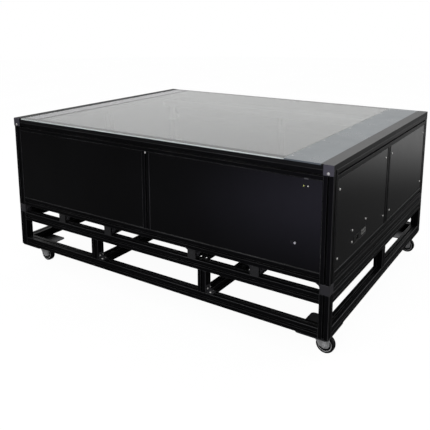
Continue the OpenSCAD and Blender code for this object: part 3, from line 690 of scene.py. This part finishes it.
def fork_fittings(corner, swivel_x, axle):
    """Ball race and dust lip above the fork, axle bolt and nut, and the folded rim of each cheek."""
    fork = "caster_fork_" + corner
    fork_low, fork_high = sides(fork)
    half = (fork_high.y - fork_low.y) / 2
    bm = bmesh.new()
    race = place((swivel_x, axle.y, 0.0865))
    seat = [(0.0262, 0), (0.0275, 0.001), (0.028, 0.0035), (0.0272, 0.0062), (0.0255, 0.0075)]
    lathe(bm, seat, race, 44)
    lathe(bm, [(0.0285, 0.0076), (0.0288, 0.0082), (0.0285, 0.009)], race, 44)
    rim = [(-0.024, 0.0765), (0.042, 0.0765), (0.046, 0.06), (0.046, 0.037), (0.0415, 0.029)]
    fold = [(-0.0011, 0), (0.0011, 0), (0.0009, 0.0013), (-0.0009, 0.0013)]
    for s in (-1, 1):
        spot = place((axle.x, axle.y + s * (half - 0.0057), axle.z), (0, s, 0))
        washer = [(0.0125, -0.0008), (0.0125, 0.0006), (0.0115, 0.0012), (0.009, 0.0012)]
        lathe(bm, washer, spot, 32)
        lathe(bm, [(0.0062, 0.001), (0.0064, 0.0045), (0.0054, 0.0056)], spot, 24, hexes=(0, 1))
        for a, b in zip(rim, rim[1:]):
            start = Vector((swivel_x + a[0], 0, a[1]))
            end = Vector((swivel_x + b[0], 0, b[1]))
            along = (end - start).normalized()
            side = place((start.x, axle.y + s * (half - 0.0065), start.z), along, (0, s, 0))
            slab(bm, fold, (end - start).length, side)
    piece("fork_fittings_" + corner, bm, ["caster_zinc"], fork, replace=False)


def wheel(corner, axle, r, w):
    """Tyre with rounded shoulders on a ribbed hub, and a bearing cap at each end."""
    bm = bmesh.new()
    spin = place(axle, (0, 1, 0))
    h = w / 2 - 0.001
    tyre = [(r * 0.74, -h), (r * 0.9, -h), (r * 0.965, -h * 0.86), (r * 0.995, -h * 0.55), (r, 0),
            (r * 0.995, h * 0.55), (r * 0.965, h * 0.86), (r * 0.9, h), (r * 0.74, h)]
    hub = [(0.0105, -h - 0.001), (0.012, -h + 0.002), (r * 0.66, -h + 0.0035), (r * 0.7, -h - 0.0004),
           (r * 0.755, -h - 0.0004), (r * 0.765, -h + 0.001), (r * 0.765, h - 0.001),
           (r * 0.755, h + 0.0004), (r * 0.7, h + 0.0004), (r * 0.66, h - 0.0035),
           (0.012, h - 0.002), (0.0105, h + 0.001)]
    lathe(bm, tyre, spin, 64)
    lathe(bm, hub, spin, 64, material=1)
    rib = [(0.0115, -0.0011), (r * 0.69, -0.0011), (r * 0.69, 0.0011), (0.0115, 0.0011)]
    for k in range(6):
        turn = spin @ Matrix.Rotation(math.radians(60 * k), 4, "Z")
        for s in (-1, 1):
            slab(bm, rib, 0.0026, turn @ Matrix.Translation((0, 0, s * (h - 0.0024) - 0.0013)), 1)
    for s in (-1, 1):
        cap = place((axle.x, axle.y + s * (h + 0.0002), axle.z), (0, s, 0))
        lathe(bm, [(0.0098, 0), (0.0098, 0.0004), (0.0092, 0.0008)], cap, 32, material=2)
    piece("wheel_tyre_" + corner, bm, ["caster_tread", "hub_grey", "caster_zinc"], "caster_wheel_" + corner)


def caster(corner):
    """The pieces of one caster, whose axle trails its swivel."""
    trail = 0.028
    low, high = sides("caster_wheel_" + corner)
    axle = (low + high) / 2
    finished("caster_fork_" + corner, 0.0009, segments=3)
    fork_fittings(corner, axle.x - trail, axle)
    wheel(corner, axle, (high.x - low.x) / 2, high.y - low.y)


caster_plate_sheets()
for corner in ("front_left", "front_right", "back_left", "back_right"):
    caster(corner)

# ---------------------------------------------------------------- controls and connectors


def lenses():
    """Two domed lenses, each in a thin dark collar."""
    bm = bmesh.new()
    for index, (low, high) in enumerate(islands("indicator_lenses")):
        middle = (low + high) / 2
        r = (high.x - low.x) / 2
        t = high.y - low.y
        base = place((middle.x, high.y, middle.z), (0, -1, 0))
        collar = [(r * 1.25, 0), (r * 1.25, t * 0.3), (r * 1.1, t * 0.45), (r * 0.9, t * 0.4)]
        dome = [(r * 0.92, 0), (r * 0.92, t * 0.45), (r * 0.8, t * 0.78), (r * 0.5, t * 0.96), (r * 0.2, t)]
        lathe(bm, collar, base, 32, material=2)
        lathe(bm, dome, base, 32, material=index)
    piece("indicator_domes", bm, ["lens", "lens_white", "escutcheon"], "indicator_lenses")


def ports():
    """Flanged shells with a dark tongue, four contacts and two flange screws each."""
    finished("data_ports", 0.0003)
    screw = [(0.0019, 0), (0.0019, 0.0005), (0.0015, 0.0009), (0.0007, 0.0009), (0.0007, 0.0004)]
    bm = bmesh.new()
    for low, high in islands("data_ports"):
        middle = (low + high) / 2
        face = high.x
        block(bm, (face - 0.0125, middle.y - 0.0024, middle.z - 0.0018),
              (face - 0.0015, middle.y + 0.0024, middle.z + 0.0014), 0.0002, 1)
        for k in range(4):
            y = middle.y - 0.0018 + k * 0.0012
            block(bm, (face - 0.0115, y - 0.0003, middle.z + 0.0013),
                  (face - 0.002, y + 0.0003, middle.z + 0.0017), 0.00005, 2)
        for s in (-1, 1):
            spot = place((face, middle.y + s * 0.0088, middle.z + s * 0.0065), (1, 0, 0))
            lathe(bm, screw, spot, 20)
    piece("port_tongues", bm, ["port_metal", "connector_black", "gold"], "data_ports", replace=False)


def inlet_pins():
    """Nickel pins of the appliance inlet with chamfered tips, inside their black shroud."""
    to_mouth = 0.0235
    bm = bmesh.new()
    low, high = sides("power_inlet")
    rocker_low, rocker_high = sides("mains_rocker")
    mouth = rocker_high.y + to_mouth
    z = (rocker_low.z + rocker_high.z) / 2
    for dy, dz in ((-0.007, -0.002), (0, 0.003), (0.007, -0.002)):
        block(bm, (low.x + 0.002, mouth + dy - 0.00115, z + dz - 0.00215),
              (high.x - 0.0035, mouth + dy + 0.00115, z + dz + 0.00215), 0.0006)
    piece("inlet_pin_shells", bm, ["port_metal"], "power_inlet", replace=False)


lenses()
ports()
inlet_pins()

# ---------------------------------------------------------------- scan drive and electronics


def belt_path(straight, r, pitch):
    """Points (x, z, outward x, outward z) round a belt, two to a tooth."""
    arc = math.pi * r
    total = 2 * (straight + arc)
    count = int(total / pitch) * 2
    reach = straight / 2
    path = []
    for k in range(count):
        s = total * k / count
        if s < straight:
            path.append((-reach + s, r, 0, 1))
        elif s < straight + arc:
            a = math.pi / 2 - (s - straight) / r
            path.append((reach + r * math.cos(a), r * math.sin(a), math.cos(a), math.sin(a)))
        elif s < 2 * straight + arc:
            path.append((reach - (s - straight - arc), -r, 0, -1))
        else:
            a = -math.pi / 2 - (s - 2 * straight - arc) / r
            path.append((-reach + r * math.cos(a), r * math.sin(a), math.cos(a), math.sin(a)))
    return path


def toothed_belts():
    """Closed belts with square teeth on the inside, running round the pulleys of each side."""
    pitch, thin, thick = 0.01, 0.0014, 0.0022
    bm = bmesh.new()
    for low, high in islands("drive_belts"):
        r = (high.z - low.z) / 2
        z = (low.z + high.z) / 2
        reach = (high.x - low.x) / 2 - r
        rows = []
        for k, (x, h, nx, nz) in enumerate(belt_path(2 * reach, r, pitch)):
            depth = thick if k % 2 else thin
            ring = []
            for d, y in ((0, low.y), (0, high.y), (depth, high.y), (depth, low.y)):
                ring.append(bm.verts.new((x - nx * d, y, z + h - nz * d)))
            rows.append(ring)
        for k in range(len(rows)):
            a, b = rows[k], rows[(k + 1) % len(rows)]
            for j in range(4):
                n = (j + 1) % 4
                bm.faces.new((a[j], a[n], b[n], b[j]))
    piece("toothed_belts", bm, ["belt_rubber"], "drive_belts")


def toothed_pulley(node, name):
    """Pulleys with cut teeth between turned rims that step down to a hub."""
    count, depth = 22, 0.0016
    bm = bmesh.new()
    for low, high in islands(node):
        middle = (low + high) / 2
        rim = (high.x - low.x) / 2
        half = (high.y - low.y) / 2
        spin = place(middle, (0, 1, 0))
        core = rim - 0.004
        teeth = []
        for k in range(count):
            for part, r in ((0.0, core), (0.3, core), (0.45, core - depth), (0.85, core - depth)):
                a = 2 * math.pi * (k + part) / count
                teeth.append((r * math.cos(a), r * math.sin(a)))
        slab(bm, teeth, 2 * half - 0.001, spin @ Matrix.Translation((0, 0, -half + 0.0005)))
        flange = [(rim - 0.0006, 0), (rim, 0.0004), (rim, 0.0012), (rim - 0.0005, 0.0015),
                  (rim * 0.62, 0.0015), (rim * 0.58, 0.001), (0.0095, 0.001), (0.0088, 0.0015)]
        for s in (-1, 1):
            lathe(bm, flange, place(middle + Vector((0, s * (half - 0.0015), 0)), (0, s, 0)), 48)
    piece(name, bm, ["pulley_alu"], node)


def lamp_rows():
    """Opal light bars: a rounded diffuser on a finned aluminium channel, with a row of small lamps."""
    lamps = 46
    bm = bmesh.new()
    for low, high in islands("lamp_bars"):
        middle = (low + high) / 2
        size = high - low
        block(bm, (low.x, low.y, low.z), (high.x, high.y, low.z + size.z * 0.45), 0.0008)
        outline = []
        for k in range(13):
            a = math.pi * k / 12
            outline.append((math.cos(a) * size.x * 0.4, math.sin(a) * size.z * 0.53))
        start = place((middle.x, low.y + 0.004, low.z + size.z * 0.45), (0, 1, 0), (0, 0, 1))
        slab(bm, outline, size.y - 0.008, start, 1)
        for k in range(lamps):
            y = low.y + 0.01 + (size.y - 0.02) * k / (lamps - 1)
            block(bm, (middle.x - 0.0014, y - 0.0014, high.z - 0.0011),
                  (middle.x + 0.0014, y + 0.0014, high.z - 0.0002), 0.0002, 2)
        for s in (-1, 1):
            for k in range(4):
                x = middle.x + s * size.x * 0.5
                z = low.z + 0.001 + 0.0014 * k
                block(bm, (x - 0.0006, low.y + 0.002, z), (x + 0.0006, high.y - 0.002, z + 0.0006), 0)
    piece("lamp_rows", bm, ["beam_alu", "lamp_diffuser", "led"], "lamp_bars")


def cameras():
    """Scan cameras: a ribbed body, stepped knurled barrel and a curved front lens."""
    body, knurls = 0.038, 40
    barrel = [(0.024, 0), (0.024, 0.008), (0.0228, 0.009), (0.0228, 0.011), (0.024, 0.012), (0.024, 0.024),
              (0.0185, 0.0245), (0.018, 0.034), (0.0172, 0.036), (0.0152, 0.036), (0.0145, 0.033)]
    front = [(0.0145, 0.030), (0.0144, 0.0325), (0.011, 0.0342), (0.006, 0.0352), (0.002, 0.0354)]
    bm = bmesh.new()
    for low, high in islands("camera_modules"):
        middle = (low + high) / 2
        block(bm, (low.x, low.y, low.z), (high.x, high.y, low.z + body), 0.0015)
        for k in range(7):
            y = low.y + 0.012 + k * 0.016
            for s in (-1, 1):
                x = middle.x + s * (high.x - low.x) / 2
                block(bm, (x - 0.0012, y - 0.003, low.z + 0.005),
                      (x + 0.0012, y + 0.003, low.z + 0.033), 0.0005)
        foot = place((middle.x, middle.y, low.z + body))
        lathe(bm, barrel, foot, 56)
        lathe(bm, front, foot, 48, material=1)
        for k in range(knurls):
            spin = foot @ Matrix.Rotation(2 * math.pi * k / knurls, 4, "Z")
            slab(bm, [(0.0236, -0.0008), (0.0246, -0.0004), (0.0246, 0.0004), (0.0236, 0.0008)], 0.009,
                 spin @ Matrix.Translation((0, 0, 0.0135)))
    piece("camera_barrels", bm, ["camera_body", "camera_glass"], "camera_modules")


def motor():
    """Stepping motor: end bells on a stack of laminations, long bolts, and its folded bracket."""
    finished("drive_shaft", 0.0006)
    half, length, front_bell, back_bell, sheets = 0.043, 0.096, 0.018, 0.02, 34
    bm = bmesh.new()
    low, high = sides("drive_motor")
    shaft_low, shaft_high = sides("drive_shaft")
    axis_x, axis_z = (shaft_low.x + shaft_high.x) / 2, (shaft_low.z + shaft_high.z) / 2
    y0, y1 = high.y - length, high.y
    bell = rounded(2 * half, 2 * half, 0.008)
    for a, b in ((y0, y0 + front_bell), (y1 - back_bell, y1)):
        slab(bm, bell, b - a, place((axis_x, a, axis_z), (0, 1, 0)), 1)
    stack = y1 - y0 - (front_bell + back_bell)
    for k in range(sheets):
        inset = 0.0012 if k % 2 else 0.0006
        slab(bm, rounded(2 * (half - inset), 2 * (half - inset), 0.012), stack / sheets,
             place((axis_x, y0 + front_bell + stack * k / sheets, axis_z), (0, 1, 0)))
    for sx in (-1, 1):
        for sz in (-1, 1):
            spot = place((axis_x + sx * (half - 0.007), y0, axis_z + sz * (half - 0.007)), (0, -1, 0))
            socket_head(bm, spot, 0.004, 0.0028, 0.0016, 2)
    lathe(bm, [(0.036, 0), (0.036, 0.0012), (0.035, 0.0016), (0.0068, 0.0016)],
          place((axis_x, y0, axis_z), (0, -1, 0)), 56, material=1)
    block(bm, (high.x - 0.012, low.y, axis_z - 0.04), (high.x, y0 + 0.006, axis_z + 0.04), 0.001, 1)
    piece("stepping_motor", bm, ["motor_coat", "hanger_alu", "screw_steel"], "drive_motor")


def board():
    """Controller board: chips with legs, capacitors, connectors, a heat sink, small parts and stand-offs."""
    stand, thick = 0.012, 0.002
    bm = bmesh.new()
    low, high = sides("controller_board")
    under = low.z + stand
    top = low.z + (stand + thick)
    block(bm, (low.x, low.y, under), (high.x, high.y, top), 0.0002)
    for x in (low.x + 0.01, low.x + 0.29):
        for y in (low.y + 0.01, low.y + 0.19):
            lathe(bm, [(0.004, 0), (0.004, stand)], place((x, y, low.z)), 6, material=4)
            socket_head(bm, place((x, y, top)), 0.0045, 0.0025, 0.0016, 4)

    def chip(x, y, w, d, h, legs):
        block(bm, (low.x + x, low.y + y, top + 0.0004), (low.x + x + w, low.y + y + d, top + h), 0.0004, 1)
        for k in range(legs):
            t = (k + 0.5) / legs
            for px, py in ((x + w * t, y), (x + w * t, y + d), (x, y + d * t), (x + w, y + d * t)):
                block(bm, (low.x + px - 0.0006, low.y + py - 0.0012, top),
                      (low.x + px + 0.0006, low.y + py + 0.0012, top + 0.0008), 0, 3)

    chip(0.04, 0.04, 0.05, 0.05, 0.004, 14)
    chip(0.21, 0.12, 0.03, 0.03, 0.003, 9)
    chip(0.10, 0.03, 0.024, 0.016, 0.0025, 6)
    chip(0.15, 0.05, 0.024, 0.016, 0.0025, 6)
    for k in range(15):  # fins of the heat sink, then its base
        x = low.x + 0.1205 + k * 0.0041
        block(bm, (x, low.y + 0.111, top + 0.004), (x + 0.0012, low.y + 0.169, top + 0.0155), 0.0002, 2)
    block(bm, (low.x + 0.12, low.y + 0.11, top), (low.x + 0.18, low.y + 0.17, top + 0.004), 0.0003, 2)
    for k in range(6):  # capacitors
        spot = place((low.x + 0.225 + 0.0105 * k, low.y + 0.033 + 0.012 * (k % 2), top))
        lathe(bm, [(0.0042, 0), (0.0042, 0.0102), (0.0036, 0.0112), (0.003, 0.0112)], spot, 24, material=1)
    for k in range(2):  # pin headers
        y = low.y + 0.135 + 0.03 * k
        block(bm, (low.x + 0.012, y, top), (low.x + 0.078, y + 0.012, top + 0.009), 0.0006, 5)
        for j in range(16):
            x = low.x + 0.015 + 0.004 * j
            block(bm, (x, y + 0.0035, top + 0.009), (x + 0.001, y + 0.0045, top + 0.0102), 0, 3)
    maker = random.Random(11)
    for k in range(90):  # resistors and the like, anywhere on the board
        x = low.x + maker.uniform(0.02, 0.28)
        y = low.y + maker.uniform(0.02, 0.18)
        w = maker.choice((0.0016, 0.002, 0.0032))
        block(bm, (x, y, top), (x + w, y + 0.0012, top + 0.0007), 0, maker.choice((1, 5, 3)))
    piece("board_parts", bm, ["board_green", "chip", "beam_alu", "gold", "screw_steel", "white_part"],
          "controller_board")


def supply():
    """Power supply: a folded cover with rows of vents drawn as thin dark patches, a painted shade in place
    of holes, and a screw terminal strip at one end.
    """
    bm = bmesh.new()
    low, high = sides("power_supply")
    cut = high.x - 0.03
    strip = low.z + 0.02
    block(bm, (low.x, low.y, low.z), (cut, high.y, high.z), 0.0012)
    block(bm, (cut, low.y, low.z), (high.x, high.y, low.z + 0.002), 0.0005)
    block(bm, (cut, low.y + 0.006, low.z + 0.002), (high.x - 0.004, high.y - 0.006, strip), 0.001, 1)
    for k in range(9):
        y = low.y + 0.014 + k * 0.011
        socket_head(bm, place((high.x - 0.016, y, strip)), 0.0032, 0.002, 0.0012, 2)
        block(bm, (high.x - 0.024, y + 0.005, strip), (high.x - 0.008, y + 0.0062, low.z + 0.026), 0.0003, 1)
    # The vents are thin near-black patches laid on the cover, not holes: painted shade
    vent = rounded(0.0075, 0.0075, 0.0034, 4)
    for i in range(14):
        for j in range(7):
            x = low.x + 0.018 + i * 0.0118
            y = low.y + 0.016 + j * 0.0138
            slab(bm, vent, 0.00025, place((x, y, high.z)), 3)
    piece("supply_case_parts", bm, ["supply_case", "chip", "screw_steel", "vent_painted_shade"], "power_supply")


def blade(bm, turn, depth):
    """One fan blade: stations from the hub out, each a cambered strip that flattens towards the tip."""
    half = Vector((0, 0.0006, 0))
    rows = []
    for i in range(7):
        t = i / 6
        r = 0.0205 + t * 0.0325
        sweep = 0.16 * t * t
        chord = 0.0095 + 0.0025 * math.sin(math.pi * t)
        pitch = math.radians(42 - 14 * t)
        ring = []
        for j in range(7):
            c = (j / 6 - 0.5) * 2 * chord
            lift = 0.0018 * (1 - (2 * j / 6 - 1) ** 2)
            a = sweep + c * math.cos(pitch) / r
            h = depth / 2 + c * math.sin(pitch) * 0.8 + lift
            ring.append(turn @ Vector((r * math.cos(a), r * math.sin(a), h)))
        rows.append(ring)
    top = [[bm.verts.new(p + half) for p in ring] for ring in rows]
    bottom = [[bm.verts.new(p - half) for p in ring] for ring in rows]
    for i in range(6):
        for j in range(6):
            bm.faces.new((top[i][j], top[i][j + 1], top[i + 1][j + 1], top[i + 1][j]))
            bm.faces.new((bottom[i][j], bottom[i + 1][j], bottom[i + 1][j + 1], bottom[i][j + 1]))
        for j, flip in ((0, 1), (6, -1)):
            ring = (top[i][j], top[i + 1][j], bottom[i + 1][j], bottom[i][j])
            bm.faces.new(ring[::flip])
    for i in (0, 6):
        for j in range(6):
            bm.faces.new((top[i][j], top[i][j + 1], bottom[i][j + 1], bottom[i][j]))


def fan():
    """Axial fan: its housing, and a rotor with a hub and seven twisted blades."""
    finished("fan_housing", 0.0008)
    blades = 7
    bm = bmesh.new()
    low, high = sides("fan_rotor")
    middle = (low + high) / 2
    spin = place((middle.x, low.y, middle.z), (0, 1, 0))
    depth = high.y - low.y
    hub = [(0.0022, 0.001), (0.019, 0.001), (0.021, 0.003), (0.021, depth - 0.002), (0.019, depth),
           (0.0022, depth)]
    lathe(bm, hub, spin, 48)
    for k in range(blades):
        blade(bm, spin @ Matrix.Rotation(2 * math.pi * k / blades, 4, "Z"), depth)
    piece("fan_blades", bm, ["fan_black"], "fan_rotor")


toothed_belts()
toothed_pulley("drive_pulleys", "toothed_drive_pulleys")
toothed_pulley("idler_pulley_front", "toothed_idler_front")
toothed_pulley("idler_pulley_back", "toothed_idler_back")
lamp_rows()
cameras()
motor()
board()
supply()
fan()

# ---------------------------------------------------------------- stage, light and camera


def glow(s, centre, reach, low, high):
    """A round patch of light on the floor about centre: low outside reach, high in the middle."""
    away = s.tree.nodes.new("ShaderNodeVectorMath")
    away.operation = "DISTANCE"
    away.inputs[1].default_value = centre
    s.tree.links.new(s.coords, away.inputs[0])
    return map_range(s.tree, away.outputs["Value"], high, low, 0.0, reach, smooth=True)


def stage_floor():
    """White to the eye; the gloss sees it nearly black, white far right and violet in front."""
    black = (0.0, 0.0, 0.0)
    bpy.ops.mesh.primitive_circle_add(vertices=96, radius=14, fill_type="NGON")
    floor = bpy.context.object
    floor.name = "studio_floor"
    s = Shader("studio_floor")
    s.set(Specular_IOR_Level=0.0, Emission_Strength=1.0)
    s.link(s.blend(s.noise(1.5, 6), (0.055, 0.055, 0.055), (0.065, 0.065, 0.065)), "Base Color")
    s.link(s.spread(s.noise(60, 4), 0.85, 0.95), "Roughness")
    right = s.mix(glow(s, (3.2, 3.8, 0), 3.1, 0.03, 1.1), black, (1.0, 1.0, 1.0))
    front = s.mix(glow(s, (0.35, -2.75, 0), 1.5, 0.0, 1.2), black, (0.72, 0.68, 1.0))
    eye = s.tree.nodes.new("ShaderNodeLightPath").outputs["Is Camera Ray"]
    s.link(s.mix(eye, s.mix(1.0, right, front, "ADD"), (0.96, 0.96, 0.96)), "Emission Color")
    floor.data.materials.append(s.material)


def studio_world():
    """White to the eye; the gloss sees it bright behind the scanner, dim in front, darkest low down."""
    world = bpy.data.worlds.new("studio")
    bpy.context.scene.world = world
    world.use_nodes = True
    tree = world.node_tree
    mirrored = tree.nodes["Background"]
    plain = tree.nodes.new("ShaderNodeBackground")
    for node in (mirrored, plain):
        node.inputs["Color"].default_value = (1, 1, 1, 1)
        node.inputs["Strength"].default_value = 1.0
    split = tree.nodes.new("ShaderNodeSeparateXYZ")
    tree.links.new(tree.nodes.new("ShaderNodeTexCoord").outputs["Generated"], split.inputs["Vector"])
    away, up = split.outputs["Y"], split.outputs["Z"]
    behind = map_range(tree, away, 0.04, 0.98, -0.3, 0.8, smooth=True)
    rise = map_range(tree, up, 0.75, 0.95, 0.04, 0.5)
    high = map_range(tree, up, 0.0, 0.42, 0.1, 0.21, smooth=True)
    level = maths(tree, "MAXIMUM", maths(tree, "MULTIPLY", behind, rise), high)
    tree.links.new(level, mirrored.inputs["Strength"])
    by_light_path(tree, "Is Camera Ray", mirrored.outputs["Background"], plain.outputs["Background"],
                  "World Output")


def aimed(name, data, spot, look):
    """An object at spot that points along look."""
    obj = bpy.data.objects.new(name, data)
    bpy.context.scene.collection.objects.link(obj)
    obj.location = spot
    obj.rotation_euler = look.to_track_quat("-Z", "Y").to_euler()
    return obj


def soft_light(name, size, spot, aim, power, mirrored=True):
    """An area light; mirrored=False keeps its outline out of the glass and the sheet metal."""
    data = bpy.data.lights.new(name, "AREA")
    data.shape = "RECTANGLE"
    data.size, data.size_y = size
    data.energy = power
    lamp = aimed(name, data, spot, Vector(aim) - Vector(spot))
    lamp.visible_glossy = mirrored
    lamp.visible_transmission = mirrored


def camera():
    """The photograph's viewpoint: to the right of the front, a little above the glass."""
    azimuth, tilt = math.radians(33.09), math.radians(11.05)
    look = Vector((-math.sin(azimuth) * math.cos(tilt), math.cos(azimuth) * math.cos(tilt), -math.sin(tilt)))
    data = bpy.data.cameras.new("camera")
    data.sensor_width = 36
    data.lens = 48.425
    data.shift_y = -0.21
    bpy.context.scene.camera = aimed("camera", data, (1.5508, -2.4913, 1.2842), look)


stage_floor()
studio_world()
soft_light("overhead", (7.0, 7.0), (0.3, 0.6, 3.6), (0, 0, 0.7), 45)
soft_light("key_right", (1.2, 1.2), (4.2, -2.6, 2.4), (0.6, 0, 0.5), 38, mirrored=False)
soft_light("fill_front", (2.4, 1.6), (-0.6, -4.6, 2.9), (0, 0, 0.4), 80, mirrored=False)
camera()
bpy.context.scene.view_settings.view_transform = "Standard"
